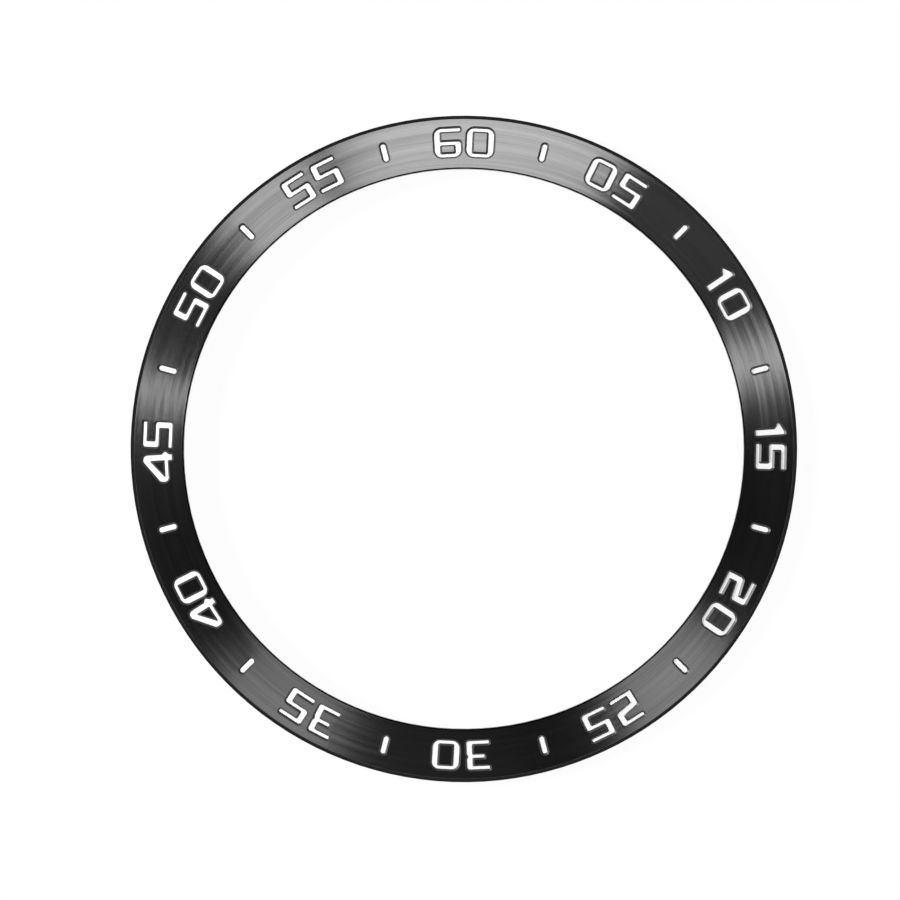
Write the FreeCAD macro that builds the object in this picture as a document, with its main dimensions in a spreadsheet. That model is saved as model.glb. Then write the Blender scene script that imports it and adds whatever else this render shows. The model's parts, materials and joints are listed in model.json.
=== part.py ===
import FreeCAD, Part
import Sketcher
import math
import os
from FreeCAD import Placement, Rotation, Vector

# Stick-on bezel ring for a 46 mm round smartwatch, with an engraved and painted minute scale.
# Millimetres. The origin is the centre of the plane that the skirt's rim stands on, +Z points
# out of the face and +Y points at the sixty mark, so clock angles run clockwise from +Y.

document = FreeCAD.newDocument("bezel")

# Driving dimensions

driving_sizes = [
    ("opening_diameter", 38.6, "clear opening round the display"),
    ("face_width", 3.7, "from the opening to the outer edge"),
    ("face_slope", 12, "degrees that the face falls towards its outer edge"),
    ("edge_thickness", 0.45, "metal between the flat underside and the face's outer edge"),
    ("recess_depth", 0.9, "from the rim of the skirt up to the flat underside"),
    ("skirt_wall", 0.6, "wall of the skirt that drops over the watch's bezel"),
    ("outer_chamfer", 0.25, "edge between the face and the outer wall"),
    ("inner_chamfer", 0.1, "edge between the face and the opening"),
    ("rim_chamfer", 0.12, "both edges of the skirt's rim"),
    ("seat_corner", 0.2, "turning tool's nose radius, where the skirt meets the underside"),
    ("tape_thickness", 0.25, "double-sided tape"),
    ("tape_margin", 0.3, "bare flat metal beside the tape, on both sides"),
    ("engraving_depth", 0.18, "from the face to the floor of an engraved mark"),
    ("paint_thickness", 0.04, "paint on that floor"),
    ("wall_slope", 45, "degrees that an engraved wall leans out from the upright"),
    ("cutter_overrun", 0.02, "how far the cutting shapes stand proud of the face"),
    ("digit_height", 2, "height of every digit, at the paint"),
    ("stem_width", 0.36, "upright stroke of a digit, at the paint"),
    ("bar_width", 0.2, "level stroke of a digit, at the paint"),
    ("corner_round", 0.17, "outside corner of a digit's strokes"),
    ("inner_round", 0.11, "inside corner of a digit's strokes"),
    ("end_round", 0.06, "corner at the end of a stroke"),
    ("least_round", 0.01, "smallest corner that the engraving cutter leaves"),
    ("tick_length", 1.22, "round-ended bar between two numerals, at the paint"),
    ("tick_width", 0.33, "the same bar's width"),
]

sheet = document.addObject("Spreadsheet::Sheet", "sizes")
for row, (alias, value, note) in enumerate(driving_sizes, start=1):
    sheet.set("A%d" % row, alias)
    sheet.set("B%d" % row, str(value))
    sheet.set("C%d" % row, note)
    sheet.setAlias("B%d" % row, alias)
document.recompute()
full_turn_degrees = 360


def size(alias):
    return float(sheet.get(alias))


# Places on the section, as expressions on the sheet

opening_radius = "sizes.opening_diameter / 2"
outer_radius = opening_radius + " + sizes.face_width"
seat_radius = outer_radius + " - sizes.skirt_wall"
outer_edge_height = "sizes.recess_depth + sizes.edge_thickness"
fall = "tan(sizes.face_slope * 1 deg)"
inner_edge_height = outer_edge_height + " + sizes.face_width * " + fall


def origin_plane(body, role):
    return next(plane for plane in body.Origin.OriginFeatures if plane.Role == role)


def add_sketch(body, name, role):
    sketch = body.newObject("Sketcher::SketchObject", name)
    sketch.AttachmentSupport = (origin_plane(body, role), [""])
    sketch.MapMode = "FlatFace"
    return sketch


def bind(sketch, constraint, expression):
    index = sketch.addConstraint(constraint)
    sketch.setExpression("Constraints[%d]" % index, expression)


def add_bound_polygon(sketch, corners):
    # Each corner is a pair of expressions, measured from the sketch's origin.
    places = [Vector(float(sketch.evalExpression(across)), float(sketch.evalExpression(up)), 0)
              for across, up in corners]
    count = len(corners)
    for index in range(count):
        sketch.addGeometry(Part.LineSegment(places[index], places[(index + 1) % count]), False)
    for index in range(count):
        sketch.addConstraint(Sketcher.Constraint("Coincident", index, 2, (index + 1) % count, 1))
    for index, (across, up) in enumerate(corners):
        bind(sketch, Sketcher.Constraint("DistanceX", -1, 1, index, 1, places[index].x), across)
        if up == "0":
            sketch.addConstraint(Sketcher.Constraint("PointOnObject", index, 1, -1))
        else:
            bind(sketch, Sketcher.Constraint("DistanceY", -1, 1, index, 1, places[index].y), up)


def make_blank():
    # The turned ring before engraving: its section, revolved about the axis.
    blank = document.addObject("PartDesign::Body", "ring_blank")
    section = add_sketch(blank, "ring_section", "XZ_Plane")
    add_bound_polygon(section, [
        (opening_radius, "sizes.recess_depth"),
        (seat_radius, "sizes.recess_depth"),
        (seat_radius, "sizes.rim_chamfer"),
        (seat_radius + " + sizes.rim_chamfer", "0"),
        (outer_radius + " - sizes.rim_chamfer", "0"),
        (outer_radius, "sizes.rim_chamfer"),
        (outer_radius, outer_edge_height + " - sizes.outer_chamfer"),
        (outer_radius + " - sizes.outer_chamfer", outer_edge_height + " + sizes.outer_chamfer * " + fall),
        (opening_radius + " + sizes.inner_chamfer", inner_edge_height + " - sizes.inner_chamfer * " + fall),
        (opening_radius, inner_edge_height + " - sizes.inner_chamfer"),
    ])
    turned = blank.newObject("PartDesign::Revolution", "turned_ring")
    turned.Profile = section
    turned.ReferenceAxis = (section, ["V_Axis"])
    turned.Angle = full_turn_degrees
    document.recompute()
    corner_place = Vector(size("opening_diameter") / 2 + size("face_width") - size("skirt_wall"), 0,
                          size("recess_depth"))
    corner_point = Part.Vertex(corner_place)
    nearest = min(turned.Shape.Edges, key=lambda edge: edge.distToShape(corner_point)[0])
    edge_number = 1 + [edge.isSame(nearest) for edge in turned.Shape.Edges].index(True)
    corner = blank.newObject("PartDesign::Fillet", "seat_corner_round")
    corner.Base = (turned, ["Edge%d" % edge_number])
    corner.setExpression("Radius", "sizes.seat_corner")
    return blank


def make_tape():
    # A flat ring of tape on the underside, inside the skirt.
    tape = document.addObject("PartDesign::Body", "adhesive_tape")
    outline = add_sketch(tape, "tape_outline", "XY_Plane")
    outline.setExpression("AttachmentOffset.Base.z", "sizes.recess_depth - sizes.tape_thickness")
    edges = [opening_radius + " + sizes.tape_margin",
             seat_radius + " - sizes.seat_corner - sizes.tape_margin"]
    for index, radius in enumerate(edges):
        start_radius = float(outline.evalExpression(radius))
        outline.addGeometry(Part.Circle(Vector(0, 0, 0), Vector(0, 0, 1), start_radius), False)
        outline.addConstraint(Sketcher.Constraint("Coincident", index, 3, -1, 1))
        bind(outline, Sketcher.Constraint("Radius", index, start_radius), radius)
    layer = tape.newObject("PartDesign::Pad", "tape_layer")
    layer.Profile = outline
    layer.setExpression("Length", "sizes.tape_thickness")
    return tape


# The scale's marks. An outline is a list of corners (across, up, round), anticlockwise, in the
# plane of the paint's surface. A hole in a digit is an outline too, and closes in as it rises.

wall_spread = math.tan(math.radians(size("wall_slope")))
engraved_rise = size("engraving_depth") - size("paint_thickness")
mouth_spread = engraved_rise * wall_spread
floor_spread = size("paint_thickness") * wall_spread
face_radius = size("opening_diameter") / 2 + size("face_width") / 2
face_height = (size("recess_depth") + size("edge_thickness")
               + size("face_width") / 2 * math.tan(math.radians(size("face_slope"))))
touching = 1e-6


def grow(corners, distance):
    # Moves each side of a polygon outwards, and keeps its corners sharp.
    grown = []
    count = len(corners)
    for index in range(count):
        before, here, after = corners[index - 1], corners[index], corners[(index + 1) % count]
        into = (here - before).normalize()
        out = (after - here).normalize()
        normal_in = Vector(into.y, -into.x, 0)
        normal_out = Vector(out.y, -out.x, 0)
        shift = (normal_in + normal_out) * (distance / (1 + normal_in.dot(normal_out)))
        grown.append(here + shift)
    return grown


def rounded_wire(corners, rounds, height):
    # Straight sides with a tangent arc at each corner, at one height.
    count = len(corners)
    arcs = []
    for index in range(count):
        here = corners[index]
        back = (corners[index - 1] - here).normalize()
        ahead = (corners[(index + 1) % count] - here).normalize()
        half_angle = back.getAngle(ahead) / 2
        reach = rounds[index] / math.tan(half_angle)
        centre = here + (back + ahead).normalize() * (rounds[index] / math.sin(half_angle))
        start, end = here + back * reach, here + ahead * reach
        middle = centre + (here - centre).normalize() * rounds[index]
        arcs.append([Vector(point.x, point.y, height) for point in (start, middle, end)])
    edges = []
    for index in range(count):
        start, middle, end = arcs[index]
        following = arcs[(index + 1) % count][0]
        edges.append(Part.Arc(start, middle, end).toShape())
        if end.distanceToPoint(following) > touching:
            edges.append(Part.LineSegment(end, following).toShape())
    return Part.Wire(edges)


def outline_wire(outline, spread, height):
    # One outline of a mark, spread outwards, or drawn in where the spread is negative.
    corners = [Vector(across, up, 0) for across, up, _ in outline]
    rounds = []
    for index, (_, _, corner_round) in enumerate(outline):
        into = corners[index] - corners[index - 1]
        out = corners[(index + 1) % len(corners)] - corners[index]
        outside_corner = into.cross(out).z > 0
        change = spread if outside_corner else -spread
        rounds.append(max(corner_round + change, size("least_round")))
    return rounded_wire(grow(corners, spread), rounds, height)


def carve(outlines, levels):
    # A solid with leaning walls: the first outline, less the holes that the others are.
    solids = []
    for index, outline in enumerate(outlines):
        side = 1 if index == 0 else -1
        wires = [outline_wire(outline, side * spread, height) for height, spread in levels]
        solids.append(Part.makeLoft(wires, True, True))
    carved = solids[0]
    for hole in solids[1:]:
        carved = carved.cut(hole)
    return carved.Solids[0]


floor_level = (-size("engraving_depth"), -floor_spread)
paint_level = (-engraved_rise, 0)
proud_level = (size("cutter_overrun"), mouth_spread + size("cutter_overrun") * wall_spread)


def rectangle(left, bottom, right, top, corner_round):
    return [(left, bottom, corner_round), (right, bottom, corner_round),
            (right, top, corner_round), (left, top, corner_round)]


stem = size("stem_width")
bar = size("bar_width")
outside = size("corner_round")
inside = size("inner_round")
tip = size("end_round")

# Each digit's width, and the places on it, are shares of the digit's height.

width_shares = {"0": 0.92, "1": 0.37, "2": 0.82, "3": 0.77, "4": 1.01, "5": 0.85, "6": 0.90}
bowl_round_share = 0.25
two_heel_share = 0.40
two_chin_share = 0.50
two_throat_share = 0.66
two_brow_share = 0.54
three_middle_share = 0.54
three_middle_start_share = 0.17
three_notch_share = 0.05
three_notch_half_share = 0.1
four_nib_share = 0.09
four_foot_share = 0.15
four_tip_share = 0.43
four_apex_share = 0.71
four_round_share = 0.14
four_hole_start_share = 0.105
four_hole_top_share = 0.80
five_middle_share = 0.52
six_middle_share = 0.48
one_slope_share = 0.11
one_tip_share = 0.85
one_flag_share = 0.79
one_neck_share = 0.69


def digit_outlines(digit):
    tall = size("digit_height")
    wide = width_shares[digit] * tall
    bowl = bowl_round_share * tall
    if digit == "0":
        return [rectangle(0, 0, wide, tall, bowl), rectangle(stem, bar, wide - stem, tall - bar, inside)]
    if digit == "1":
        return [[(wide - stem, 0, tip), (wide, 0, tip), (wide, tall, tip),
                 (wide - one_slope_share * tall, tall, tip), (0, one_tip_share * tall, tip),
                 (0, one_flag_share * tall, tip), (wide - stem, one_neck_share * tall, inside)]]
    if digit == "2":
        return [[(0, 0, tip), (wide, 0, tip), (wide, bar, tip), (stem, bar, inside),
                 (stem, two_heel_share * tall, inside), (wide, two_chin_share * tall, outside),
                 (wide, tall, outside), (0, tall, tip), (0, tall - bar, tip),
                 (wide - stem, tall - bar, inside), (wide - stem, two_throat_share * tall, inside),
                 (0, two_brow_share * tall, outside)]]
    if digit == "3":
        notch = three_notch_share * tall
        notch_half = three_notch_half_share * tall
        middle = three_middle_share * tall
        middle_start = three_middle_start_share * tall
        return [[(0, 0, tip), (wide, 0, outside), (wide, middle - notch_half, tip),
                 (wide - notch, middle, size("least_round")), (wide, middle + notch_half, tip),
                 (wide, tall, outside), (0, tall, tip), (0, tall - bar, tip),
                 (wide - stem, tall - bar, inside), (wide - stem, middle + bar / 2, inside),
                 (middle_start, middle + bar / 2, tip), (middle_start, middle - bar / 2, tip),
                 (wide - stem, middle - bar / 2, inside), (wide - stem, bar, inside), (0, bar, tip)]]
    if digit == "4":
        stem_right = wide - four_nib_share * tall
        stem_left = stem_right - stem
        foot = four_foot_share * tall
        nib = four_nib_share * tall
        apex_left = four_apex_share * tall
        wide_round = four_round_share * tall
        hole_start = four_hole_start_share * tall
        return [[(stem_left, 0, tip), (stem_right, 0, tip), (stem_right, foot - bar / 2, inside),
                 (wide, foot + bar / 2, tip), (wide, foot + bar, tip), (stem_right, foot + bar + nib, inside),
                 (stem_right, tall, wide_round), (apex_left, tall, wide_round),
                 (0, four_tip_share * tall, wide_round), (0, foot, wide_round), (stem_left, foot, inside)],
                [(hole_start, foot + bar, tip), (stem_left, foot + bar, tip),
                 (stem_left, four_hole_top_share * tall, tip)]]
    if digit == "5":
        middle = five_middle_share * tall
        return [[(0, 0, tip), (wide, 0, outside), (wide, middle + bar / 2, outside),
                 (stem, middle + bar / 2, inside), (stem, tall - bar, inside), (wide, tall - bar, tip),
                 (wide, tall, tip), (0, tall, outside), (0, middle - bar / 2, outside),
                 (wide - stem, middle - bar / 2, inside), (wide - stem, bar, inside), (0, bar, tip)]]
    middle = six_middle_share * tall
    return [[(0, 0, bowl), (wide, 0, bowl), (wide, middle + bar / 2, outside),
             (stem, middle + bar / 2, inside), (stem, tall - bar, inside), (wide, tall - bar, tip),
             (wide, tall, tip), (0, tall, bowl)],
            rectangle(stem, bar, wide - stem, middle - bar / 2, inside)]


def centred(outlines):
    right = max(across for across, _, _ in outlines[0])
    top = max(up for _, up, _ in outlines[0])
    return [[(across - right / 2, up - top / 2, corner_round) for across, up, corner_round in outline]
            for outline in outlines]


def clock_turn(angle):
    return Placement(Vector(0, 0, 0), Rotation(Vector(0, 0, 1), -angle))


def onto_face(solid, angle):
    # From a mark's own plane to the sloping face, at a clock angle.
    lay = Placement(Vector(0, face_radius, face_height), Rotation(Vector(1, 0, 0), -size("face_slope")))
    placed = solid.copy()
    placed.Placement = clock_turn(angle) * lay
    return placed


# The numerals, clockwise from the top. Each has the places of its left and right digits along
# the ring, from the numeral's own clock angle, as shares of the digit's height.

digit_place_shares = {
    "60": (-0.563, 0.563),
    "05": (-0.624, 0.502),
    "10": (-0.702, 0.332),
    "15": (-0.670, 0.268),
    "20": (-0.535, 0.693),
    "25": (-0.393, 0.739),
    "30": (-0.490, 0.630),
    "35": (-0.526, 0.554),
    "40": (-0.552, 0.577),
    "45": (-0.633, 0.493),
    "50": (-0.540, 0.576),
    "55": (-0.480, 0.646),
}
numeral_step = full_turn_degrees / len(digit_place_shares)

fill_levels = [floor_level, paint_level]
cutter_levels = [floor_level, paint_level, proud_level]
painted_marks = []
cutters = []


def add_mark(label, angle, pieces):
    # pieces are pairs of outlines and the angle at which they stand from the mark's own.
    fills = [onto_face(carve(outlines, fill_levels), turn) for outlines, turn in pieces]
    mark = document.addObject("Part::Feature", label)
    mark.Shape = fills[0] if len(fills) == 1 else Part.makeCompound(fills)
    mark.Placement = clock_turn(angle) * mark.Placement
    painted_marks.append(mark)
    cutters.extend(onto_face(carve(outlines, cutter_levels), angle + turn) for outlines, turn in pieces)


for number, (name, place_shares) in enumerate(digit_place_shares.items()):
    turns = [math.degrees(share * size("digit_height") / face_radius) for share in place_shares]
    add_mark("numeral_" + name, number * numeral_step,
             [(centred(digit_outlines(digit)), turn) for digit, turn in zip(name, turns)])

# A round-ended bar stands half way between each numeral and the next.

tick_outline = [rectangle(0, 0, size("tick_width"), size("tick_length"), size("tick_width") / 2)]
for number in range(len(digit_place_shares)):
    tick_angle = (number + 1 / 2) * numeral_step
    add_mark("tick_%03d_degrees" % tick_angle, tick_angle, [(centred(tick_outline), 0)])

blank = make_blank()
tape = make_tape()
document.recompute()

# The engraved ring is the turned blank less all the cutting shapes at once.
ring = document.addObject("Part::Feature", "bezel_ring")
ring.Shape = blank.Shape.cut(cutters)

# Checks, then one file for each sub-part

sub_parts = [ring, tape] + painted_marks
for item in document.Objects:
    if "Invalid" in item.State or "Error" in item.State:
        raise RuntimeError(item.Name + " did not build")
for item in sub_parts:
    if item.Shape.isNull() or not item.Shape.isValid():
        raise RuntimeError(item.Label + " is not a valid shape")

os.makedirs("parts", exist_ok=True)
for item in sub_parts:
    item.Shape.exportStep("parts/" + item.Label + ".step")
    print(item.Label, len(item.Shape.Solids), "solids", round(item.Shape.Volume, 4), "cubic mm")
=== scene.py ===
import json
import math

import bpy
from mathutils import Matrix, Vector


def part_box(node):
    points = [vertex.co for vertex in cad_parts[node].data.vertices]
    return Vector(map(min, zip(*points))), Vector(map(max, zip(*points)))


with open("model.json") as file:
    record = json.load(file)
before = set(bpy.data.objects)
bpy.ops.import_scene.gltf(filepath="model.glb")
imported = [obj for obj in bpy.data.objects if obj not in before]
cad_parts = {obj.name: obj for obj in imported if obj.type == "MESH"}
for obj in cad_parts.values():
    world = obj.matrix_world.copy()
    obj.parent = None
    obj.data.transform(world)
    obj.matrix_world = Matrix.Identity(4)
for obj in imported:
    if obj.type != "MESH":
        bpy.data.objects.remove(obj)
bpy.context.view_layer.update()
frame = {"nodes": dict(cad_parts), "record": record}
print("stage 1: the packed ring is loaded")

mm = 0.001               # Blender works in metres, the ring is read in millimetres


class Wire:
    # The output of a shader node. Sums with wires and numbers in them add their own nodes.
    def __init__(self, shader, socket):
        self.shader = shader
        self.socket = socket

    def output(self, name):
        return Wire(self.shader, self.socket.node.outputs[name])

    def maths(self, operation, first, second=0.0):
        return self.shader.node("ShaderNodeMath", {"operation": operation}, {0: first, 1: second})

    def __add__(self, other):
        return self.maths("ADD", self, other)

    def __radd__(self, other):
        return self.maths("ADD", other, self)

    def __sub__(self, other):
        return self.maths("SUBTRACT", self, other)

    def __rsub__(self, other):
        return self.maths("SUBTRACT", other, self)

    def __mul__(self, other):
        return self.maths("MULTIPLY", self, other)

    def __rmul__(self, other):
        return self.maths("MULTIPLY", other, self)

    def __gt__(self, other):
        return self.maths("GREATER_THAN", self, other)

    def __lt__(self, other):
        return self.maths("LESS_THAN", self, other)

    def atMost(self, other):
        return self.maths("MINIMUM", self, other)


class Shader:
    # A material, or the world, whose nodes all come from the node method.
    def __init__(self, owner):
        owner.use_nodes = True
        self.owner = owner
        self.tree = owner.node_tree
        self.tree.nodes.clear()

    def node(self, kind, settings=None, sockets=None):
        made = self.tree.nodes.new(kind)
        for name, value in (settings or {}).items():
            setattr(made, name, value)
        for name, value in (sockets or {}).items():
            if isinstance(value, Wire):
                self.tree.links.new(value.socket, made.inputs[name])
            else:
                made.inputs[name].default_value = value
        return Wire(self, made.outputs[0]) if made.outputs else None

    def vector(self, operation, first, second=None, scale=None):
        sockets = {0: first}
        if second is not None:
            sockets[1] = second
        if scale is not None:
            sockets["Scale"] = scale
        return self.node("ShaderNodeVectorMath", {"operation": operation}, sockets)

    def combine(self, x, y, z):
        return self.node("ShaderNodeCombineXYZ", {}, {0: x, 1: y, 2: z})

    def noise(self, place, detail):
        return self.node("ShaderNodeTexNoise", {}, {"Vector": place, "Scale": 1.0, "Detail": detail})

    def mixColour(self, share, first, second):
        # A mix node keeps its colours on the sockets 6 and 7, and gives the mixed one on output 2.
        return self.node("ShaderNodeMix", {"data_type": "RGBA"}, {0: share, 6: first, 7: second}).output(2)

    def mixSurface(self, share, first, second):
        return self.node("ShaderNodeMixShader", {}, {0: share, 1: first, 2: second})

    def smooth(self, value, low, high):
        return self.node("ShaderNodeMapRange", {"interpolation_type": "SMOOTHSTEP"},
                         {"Value": value, "From Min": low, "From Max": high})

    def finish(self, surface):
        isWorld = isinstance(self.owner, bpy.types.World)
        kind = "ShaderNodeOutputWorld" if isWorld else "ShaderNodeOutputMaterial"
        self.node(kind, {}, {"Surface": surface})
        return self.owner


def placeInRing(shader):
    # Where a point lies in millimetres, its radius, its height and the outward direction there.
    place = shader.vector("SCALE", shader.node("ShaderNodeTexCoord").output("Object"), scale=1 / mm)
    height = shader.node("ShaderNodeSeparateXYZ", {}, {0: place}).output("Z")
    flat = shader.vector("MULTIPLY", place, (1.0, 1.0, 0.0))
    radius = shader.vector("LENGTH", flat).output("Value")
    outward = shader.vector("NORMALIZE", flat)
    return place, radius, height, outward


# The ring's own sizes. The face's slope and chamfers can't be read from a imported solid.

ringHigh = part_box("bezel_ring")[1]
mounts = {mount["name"]: mount for mount in frame["record"]["mounts"]}
ringSizes = {
    "outerRadius": ringHigh.x / mm,
    "openingRadius": mounts["display_opening"]["dims"]["r_mm"],
    "topHeight": ringHigh.z / mm,
    "slopeDegrees": 12.0,
    "innerChamfer": 0.1,
    "outerChamfer": 0.25,
}
slope = math.radians(ringSizes["slopeDegrees"])
faceMiddle = (ringSizes["outerRadius"] + ringSizes["openingRadius"]) / 2
noiseMiddle = 0.5        # noise varies round this


# Black coated steel, brushed in circles. Streaks are noise drawn out round the ring's axis.

steel = {
    "colour": (0.15, 0.15, 0.152, 1.0),
    "paleStreak": 1.16,
    "darkStreak": 0.84,
    "streakShare": 0.5,
    "streakLow": 0.3,
    "streakHigh": 0.7,
    # painted sheen: how much paler the face's colour gets towards its outer edge
    "outwardRise": 0.04,
    "roughness": 0.151,
    "roughnessSpread": 0.03,
    "anisotropy": 0.256,
    "quarterTurn": 0.25,
    "bands": {"arcs": 0.7, "perMm": 2.8, "detail": 1.5, "shift": 0.0},
    "hairs": {"arcs": 2.0, "perMm": 9.0, "detail": 1.0, "shift": 7.0},
    "tilts": {"arcs": 0.7, "perMm": 4.2, "detail": 1.0, "shift": 19.0},
    "swayAlong": 0.028,
    "swayAcross": 0.01,
    # painted shade: the darker colour given to the upward-facing chamfers
    "edgeColour": (0.006, 0.006, 0.0062, 1.0),
    "sideColour": (0.045, 0.045, 0.046, 1.0),
    "sideSteepest": 0.2,
    "edgeFlattest": 0.4,
    "edgeRoughness": 0.28,
    "edgeSpread": 0.1,
    "turningsPerMm": 8.0,
    "turningsDetail": 2.0,
    "turningDepth": 0.0008,
    "turningStrength": 0.5,
    "wallColour": (0.13, 0.13, 0.131, 1.0),
    "wallRoughness": 0.5,
    "faceDepth": 0.006,
    "deepestMark": 0.2,
}


def makeSteel():
    shader = Shader(bpy.data.materials.new("blackBrushedSteel"))
    radius, height, outward = placeInRing(shader)[1:]
    shape = shader.node("ShaderNodeNewGeometry").output("Normal")

    def streaks(kind):
        arcs = shader.vector("SCALE", outward, scale=kind["arcs"])
        place = shader.vector("ADD", arcs, shader.combine(kind["shift"], 0.0, radius * kind["perMm"]))
        return shader.noise(place, kind["detail"])

    bands = streaks(steel["bands"])
    hairs = streaks(steel["hairs"])
    tilts = streaks(steel["tilts"])

    # Brushing tips the surface a little along and across its grooves.
    along = shader.vector("CROSS_PRODUCT", (0.0, 0.0, 1.0), outward)
    tipAlong = shader.vector("SCALE", along, scale=(tilts - noiseMiddle) * steel["swayAlong"])
    unevenness = hairs + bands - 2 * noiseMiddle
    tipAcross = shader.vector("SCALE", outward, scale=unevenness * steel["swayAcross"])
    tipped = shader.vector("ADD", shader.vector("ADD", shape, tipAlong), tipAcross)
    brushed = shader.vector("NORMALIZE", tipped)

    base = Vector(steel["colour"]).xyz
    pale = tuple(base * steel["paleStreak"]) + (1.0,)
    dark = tuple(base * steel["darkStreak"]) + (1.0,)
    # The face's colour is painted paler towards the outer edge, a painted sheen that stands in for the
    # brighter reflection there.
    outerSheen = (radius - faceMiddle) * steel["outwardRise"]
    blend = steel["streakShare"] * (bands + hairs)
    streak = shader.smooth(blend + outerSheen, steel["streakLow"], steel["streakHigh"])
    face = shader.node("ShaderNodeBsdfPrincipled", {}, {
        "Base Color": shader.mixColour(streak, dark, pale),
        "Metallic": 1.0,
        "Roughness": steel["roughness"] + (hairs - noiseMiddle) * steel["roughnessSpread"],
        "Normal": brushed,
        "Anisotropic": steel["anisotropy"],
        "Anisotropic Rotation": steel["quarterTurn"],
        "Tangent": shader.node("ShaderNodeTangent", {"direction_type": "RADIAL", "axis": "Z"})})

    # The edges, the skirt and the underside keep the lathe's own finish. The chamfers that face upwards are
    # painted darker than the skirt and underside, a painted shade for their dark reflections.
    upward = shader.node("ShaderNodeSeparateXYZ", {}, {0: shape}).output("Z")
    chamferShade = shader.smooth(upward, steel["sideSteepest"], steel["edgeFlattest"])
    groove = shader.combine(radius * steel["turningsPerMm"], height * steel["turningsPerMm"], 0.0)
    turnings = shader.noise(groove, steel["turningsDetail"])
    turned = shader.node("ShaderNodeBump", {}, {
        "Height": turnings, "Strength": steel["turningStrength"], "Distance": steel["turningDepth"] * mm})
    edges = shader.node("ShaderNodeBsdfPrincipled", {}, {
        "Base Color": shader.mixColour(chamferShade, steel["sideColour"], steel["edgeColour"]),
        "Metallic": 1.0,
        "Roughness": steel["edgeRoughness"] + (turnings - noiseMiddle) * steel["edgeSpread"],
        "Normal": turned})

    # The walls of the engraved marks were cut, not brushed.
    walls = shader.node("ShaderNodeBsdfPrincipled", {}, {
        "Base Color": steel["wallColour"], "Metallic": 1.0, "Roughness": steel["wallRoughness"]})

    innerEdge = ringSizes["openingRadius"] + ringSizes["innerChamfer"]
    outerEdge = ringSizes["outerRadius"] - ringSizes["outerChamfer"]
    depth = ringSizes["topHeight"] + (innerEdge - radius) * math.tan(slope) - height
    overFace = (radius > innerEdge - steel["faceDepth"]) * (radius < outerEdge + steel["faceDepth"])
    onFace = overFace * (depth < steel["faceDepth"])
    inMark = overFace * (depth > steel["faceDepth"]) * (depth < steel["deepestMark"])
    return shader.finish(shader.mixSurface(inMark, shader.mixSurface(onFace, edges, face), walls))


# White enamel in the engraved marks

paint = {
    "colour": (0.9, 0.9, 0.89, 1.0),
    "shade": (0.86, 0.86, 0.85, 1.0),
    "shadeBelow": 0.35,
    "colourAbove": 0.65,
    "roughness": 0.35,
    "roughnessSpread": 0.1,
    "grainPerMm": 9.0,
    "grainDetail": 3.0,
    "rippleStrength": 0.04,
    "rippleDepth": 0.01,
}


def makePaint():
    shader = Shader(bpy.data.materials.new("scalePaint"))
    place = placeInRing(shader)[0]
    grain = shader.noise(shader.vector("SCALE", place, scale=paint["grainPerMm"]), paint["grainDetail"])
    lightness = shader.smooth(grain, paint["shadeBelow"], paint["colourAbove"])
    rippled = shader.node("ShaderNodeBump", {}, {
        "Height": grain, "Strength": paint["rippleStrength"], "Distance": paint["rippleDepth"] * mm})
    return shader.finish(shader.node("ShaderNodeBsdfPrincipled", {}, {
        "Base Color": shader.mixColour(lightness, paint["shade"], paint["colour"]),
        "Roughness": paint["roughness"] + (grain - noiseMiddle) * paint["roughnessSpread"],
        "Normal": rippled}))


# Thin black foam tape

tape = {
    "colour": (0.035, 0.035, 0.037, 1.0),
    "speck": (0.075, 0.075, 0.078, 1.0),
    "roughness": 0.72,
    "roughnessSpread": 0.2,
    "patchDetail": 3.0,
    "cellsPerMm": 14.0,
    "cellStrength": 0.6,
    "cellDepth": 0.015,
}


def makeTape():
    shader = Shader(bpy.data.materials.new("foamTape"))
    place = placeInRing(shader)[0]
    cells = shader.node("ShaderNodeTexVoronoi", {}, {"Vector": place, "Scale": tape["cellsPerMm"]})
    patches = shader.noise(place, tape["patchDetail"])
    pitted = shader.node("ShaderNodeBump", {}, {
        "Height": cells, "Strength": tape["cellStrength"], "Distance": tape["cellDepth"] * mm})
    return shader.finish(shader.node("ShaderNodeBsdfPrincipled", {}, {
        "Base Color": shader.mixColour(cells, tape["colour"], tape["speck"]),
        "Roughness": tape["roughness"] + (patches - noiseMiddle) * tape["roughnessSpread"],
        "Normal": pitted}))


finishes = {"black_brushed_steel": makeSteel(), "scale_paint": makePaint(), "foam_tape": makeTape()}
slots = {entry["node"]: entry["material_slot"] for entry in frame["record"]["subparts"]}
for name, piece in frame["nodes"].items():
    piece.data.materials.clear()
    piece.data.materials.append(finishes[slots[name]])
print("stage 2: steel, paint and tape have their finishes")


# A white table with a low wall round it

table = {
    "radius": 3.0,
    "wallHeight": 0.35,
    "drop": 0.00002,
    "colour": (0.86, 0.86, 0.86, 1.0),
    "nearGlow": 0.95,
    "nearRadius": 0.06,
    "farRadius": 0.16,
    "sides": 96,
}


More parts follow.
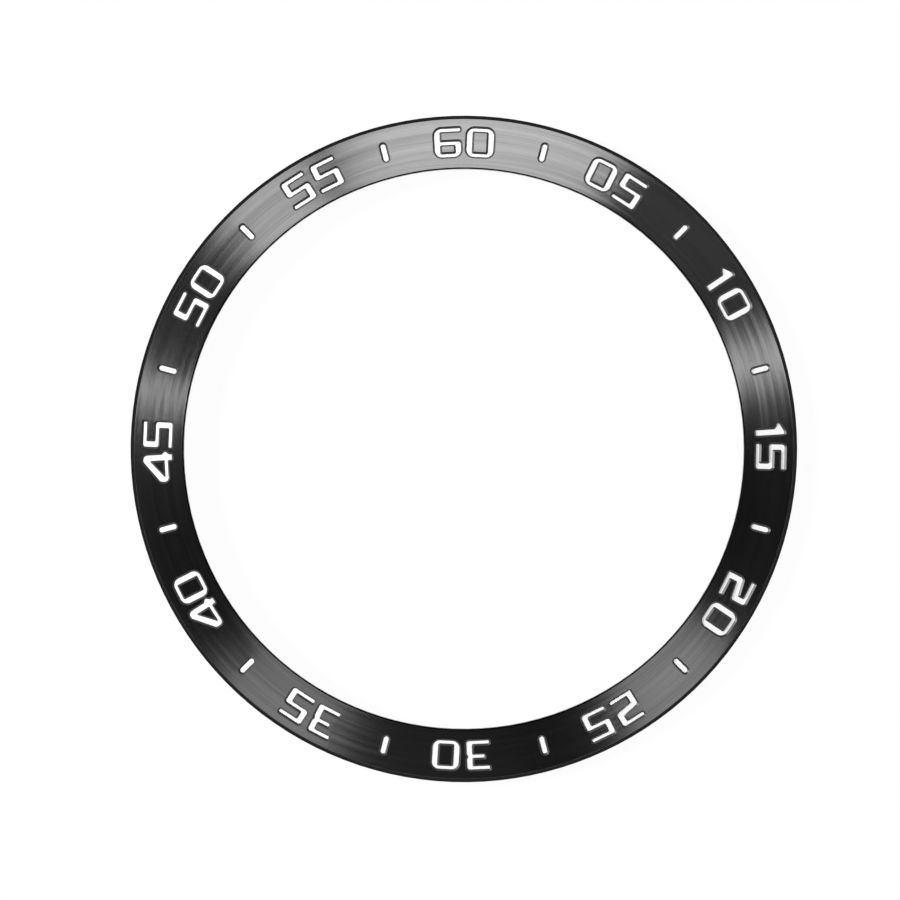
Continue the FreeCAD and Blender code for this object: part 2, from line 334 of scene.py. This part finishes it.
def makeTable():
    corners = [(0.0, 0.0, -table["drop"])]
    faces = []
    for height in (-table["drop"], table["wallHeight"]):
        for number in range(table["sides"]):
            turn = 2 * math.pi * number / table["sides"]
            corners.append((table["radius"] * math.cos(turn), table["radius"] * math.sin(turn), height))
    for number in range(table["sides"]):
        here, after = 1 + number, 1 + (number + 1) % table["sides"]
        faces.append((0, here, after))
        faces.append((here, here + table["sides"], after + table["sides"], after))
    mesh = bpy.data.meshes.new("tableTop")
    mesh.from_pydata(corners, [], faces)
    top = bpy.data.objects.new("tableTop", mesh)
    bpy.context.scene.collection.objects.link(top)
    shader = Shader(bpy.data.materials.new("tableWhite"))
    place = shader.node("ShaderNodeTexCoord").output("Object")
    distance = shader.vector("LENGTH", place).output("Value")
    far = shader.smooth(distance, table["nearRadius"], table["farRadius"])
    rays = shader.node("ShaderNodeLightPath")
    mirrored = rays.output("Is Glossy Ray") + rays.output("Is Transmission Ray")
    seen = (rays.output("Is Camera Ray") + mirrored).atMost(1.0)
    glow = shader.node("ShaderNodeEmission", {}, {"Color": (1.0, 1.0, 1.0, 1.0), "Strength": 1.0})
    matte = shader.node("ShaderNodeBsdfDiffuse", {}, {"Color": table["colour"]})
    share = seen * (table["nearGlow"] + far * (1.0 - table["nearGlow"]))
    mesh.materials.append(shader.finish(shader.mixSurface(share, matte, glow)))


makeTable()
print("stage 3: the table stands")


# Soft boxes. Clock angle and tilt from overhead in degrees, distance and sizes in metres.

softBoxes = {
    "keyBox": {"clock": 280.5, "tilt": 51, "distance": 1.2, "wide": 0.05, "deep": 0.2, "power": 12.5},
    "overheadBox": {"clock": 0, "tilt": 1, "distance": 1.2, "wide": 0.2, "deep": 0.2, "power": 8.0},
    "leftBox": {"clock": 280.5, "tilt": 28, "distance": 1.2, "wide": 0.02, "deep": 0.2, "power": 0.095},
    "topBox": {"clock": 2.8, "tilt": 28, "distance": 1.2, "wide": 0.5, "deep": 0.2, "power": 1.1},
    "topLeftBox": {"clock": 321.8, "tilt": 28, "distance": 1.2, "wide": 0.19, "deep": 0.2, "power": 0.34},
    "farRightBox": {"clock": 48, "tilt": 28, "distance": 1.2, "wide": 0.2, "deep": 0.2, "power": 0.022},
    "rightBox": {"clock": 73.6, "tilt": 28, "distance": 1.2, "wide": 0.08, "deep": 0.2, "power": 0.175},
    "lowRightBox": {"clock": 138, "tilt": 28, "distance": 1.2, "wide": 0.21, "deep": 0.2, "power": 0.2},
    "lowBox": {"clock": 188, "tilt": 28, "distance": 1.2, "wide": 0.36, "deep": 0.2, "power": 0.01},
    "lowLeftBox": {"clock": 215, "tilt": 28, "distance": 1.2, "wide": 0.22, "deep": 0.2, "power": 0.172},
}
worldLight = 0.005


def addSoftBox(name, box):
    clock, tilt = math.radians(box["clock"]), math.radians(box["tilt"])
    direction = Vector((math.sin(clock) * math.sin(tilt), math.cos(clock) * math.sin(tilt), math.cos(tilt)))
    lamp = bpy.data.lights.new(name, "AREA")
    lamp.shape = "RECTANGLE"
    lamp.size = box["wide"]
    lamp.size_y = box["deep"]
    lamp.energy = box["power"]
    holder = bpy.data.objects.new(name, lamp)
    holder.location = direction * box["distance"]
    holder.rotation_euler = direction.to_track_quat("Z", "Y").to_euler()
    holder.visible_camera = False
    bpy.context.scene.collection.objects.link(holder)


for name, box in softBoxes.items():
    addSoftBox(name, box)

world = bpy.data.worlds.new("studio")
sky = Shader(world)
sky.finish(sky.node("ShaderNodeBackground", {}, {"Color": (1.0, 1.0, 1.0, 1.0), "Strength": worldLight}))
bpy.context.scene.world = world
print("stage 4: the soft boxes are lit")


# The photograph's view: straight down on the face

view = {
    "framePixels": 900.0,
    "centreAcross": 463.9,
    "centreDown": 448.95,
    "outerPixels": 333.9,
    "distance": 0.6,
    "sensor": 36.0,
    "clipStart": 0.01,
    "clipEnd": 10.0,
}


def addCamera():
    metresPerPixel = ringSizes["outerRadius"] * mm / view["outerPixels"]
    frameWidth = metresPerPixel * view["framePixels"]
    half = view["framePixels"] / 2
    lens = bpy.data.cameras.new("viewCamera")
    lens.sensor_width = view["sensor"]
    lens.lens = view["sensor"] * view["distance"] / frameWidth
    lens.clip_start = view["clipStart"]
    lens.clip_end = view["clipEnd"]
    camera = bpy.data.objects.new("viewCamera", lens)
    across = (half - view["centreAcross"]) * metresPerPixel
    up = (view["centreDown"] - half) * metresPerPixel
    faceLevel = ringSizes["topHeight"] * mm
    camera.location = (across, up, view["distance"] + faceLevel)
    bpy.context.scene.collection.objects.link(camera)
    bpy.context.scene.camera = camera


addCamera()
bpy.context.scene.view_settings.view_transform = "Standard"
print("stage 5: the camera looks straight down")
